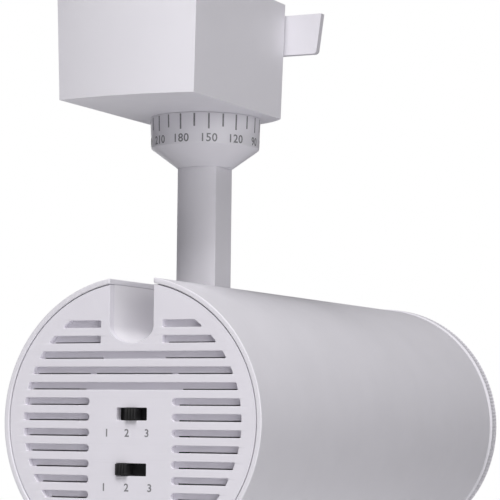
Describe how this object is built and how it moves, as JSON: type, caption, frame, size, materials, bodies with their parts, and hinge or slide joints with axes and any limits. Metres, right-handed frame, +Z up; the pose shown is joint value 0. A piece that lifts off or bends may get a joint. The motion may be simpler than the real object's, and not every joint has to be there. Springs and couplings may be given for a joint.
{
  "type": "track spotlight",
  "caption": "Cylindrical white track spotlight on a stem with a degree-scale swivel collar, tilting head, louvred rear cap and a box adaptor with a locking lever.",
  "frame": {"origin": "on the swivel axis, in the adaptor's top face, which rests against the underside of the track", "axes": "+Z up towards the track, +X the way the beam points at rest, +Y to the left of the beam"},
  "size_m": [0.1988, 0.0808, 0.1726],
  "materials": {
    "housing_plastic": "fine satin moulded white plastic",
    "cover_plastic": "satin moulded white plastic",
    "screw_steel": "zinc plated",
    "rib_plastic": "satin moulded white plastic",
    "contact_brass": "polished brass",
    "terminal_plastic": "moulded nylon",
    "bush_plastic": "self-lubricating plastic",
    "lever_plastic": "satin moulded white plastic",
    "spindle_plastic": "satin moulded white plastic",
    "contact_copper": "polished copper",
    "collar_paint": "white powder coat with printed degree scale",
    "stem_paint": "fine white powder coat",
    "lead_sheath": "smooth white cable sheath",
    "tube_paint": "fine white powder coat",
    "cap_plastic": "satin moulded white plastic",
    "channel_plastic": "satin moulded white plastic",
    "bracket_steel": "zinc plated sheet steel",
    "cast_aluminium": "die-cast, lightly blasted",
    "case_plastic": "moulded flame-retardant plastic",
    "board_laminate": "green solder mask",
    "transformer_tape": "ferrite core with yellow tape",
    "capacitor_sleeve": "dark sleeve",
    "choke_copper": "enamelled copper winding",
    "chip_resin": "black moulding resin",
    "switch_steel": "tinned steel can",
    "knob_plastic": "black moulded plastic",
    "led_substrate": "white solder mask on aluminium",
    "phosphor": "silicone with yellow phosphor",
    "holder_plastic": "white heat-resistant plastic",
    "reflector_metal": "bright faceted vacuum-metallised surface",
    "bezel_paint": "white powder coat with a fine knurled band",
    "gasket_rubber": "silicone rubber",
    "lens_glass": "clear toughened glass"
  },
  "bodies": {
    "adaptor": {"adaptor_housing": "housing_plastic", "adaptor_cover": "cover_plastic", "cover_screws": "screw_steel", "track_rib": "rib_plastic", "earth_contacts": "contact_brass", "terminal_block": "terminal_plastic", "swivel_bush": "bush_plastic"},
    "track_lock": {"lock_lever": "lever_plastic", "lock_spindle": "spindle_plastic", "lever_screw": "screw_steel", "contact_blades": "contact_copper"},
    "stem": {"scale_collar": "collar_paint", "stem_arm": "stem_paint", "swivel_washer": "screw_steel", "swivel_nut": "screw_steel", "stem_lead": "lead_sheath"},
    "head": {"head_tube": "tube_paint", "rear_cap": "cap_plastic", "stem_channel": "channel_plastic", "pivot_bracket": "bracket_steel", "pivot_screws": "screw_steel", "friction_washers": "bush_plastic", "bracket_screws": "screw_steel", "heat_sink": "cast_aluminium", "driver_case": "case_plastic", "case_screws": "screw_steel", "driver_board": "board_laminate", "transformer": "transformer_tape", "capacitors": "capacitor_sleeve", "choke": "choke_copper", "driver_chips": "chip_resin", "switch_board": "board_laminate", "power_switch": "switch_steel", "colour_switch": "switch_steel", "led_board": "led_substrate", "led_chip": "phosphor", "led_holder": "holder_plastic", "holder_screws": "screw_steel", "reflector": "reflector_metal"},
    "bezel": {"front_bezel": "bezel_paint", "front_gasket": "gasket_rubber", "front_lens": "lens_glass", "lens_ring": "bracket_steel"},
    "power_slider": {"power_knob": "knob_plastic"},
    "colour_slider": {"colour_knob": "knob_plastic"}
  },
  "joints": [
    {"name": "lock_turn", "type": "hinge", "parent": "adaptor", "child": "track_lock", "pos_m": [0.01, 0, 0], "axis": [0, 0, 1], "range_deg": [0, 90]},
    {"name": "swivel", "type": "hinge", "parent": "adaptor", "child": "stem", "pos_m": [0, 0, -0.034], "axis": [0, 0, 1], "range_deg": [-175, 175]},
    {"name": "tilt", "type": "hinge", "parent": "stem", "child": "head", "pos_m": [0, 0, -0.0945], "axis": [0, 1, 0], "range_deg": [0, 85]},
    {"name": "bezel_turn", "type": "hinge", "parent": "head", "child": "bezel", "pos_m": [0.1399, 0, -0.1232], "axis": [1, 0, 0], "range_deg": [0, 30]},
    {"name": "power_slide", "type": "slide", "parent": "head", "child": "power_slider", "axis": [0, 1, 0], "range_m": [-0.0027, 0.0027]},
    {"name": "colour_slide", "type": "slide", "parent": "head", "child": "colour_slider", "axis": [0, 1, 0], "range_m": [-0.0054, 0]}
  ]
}
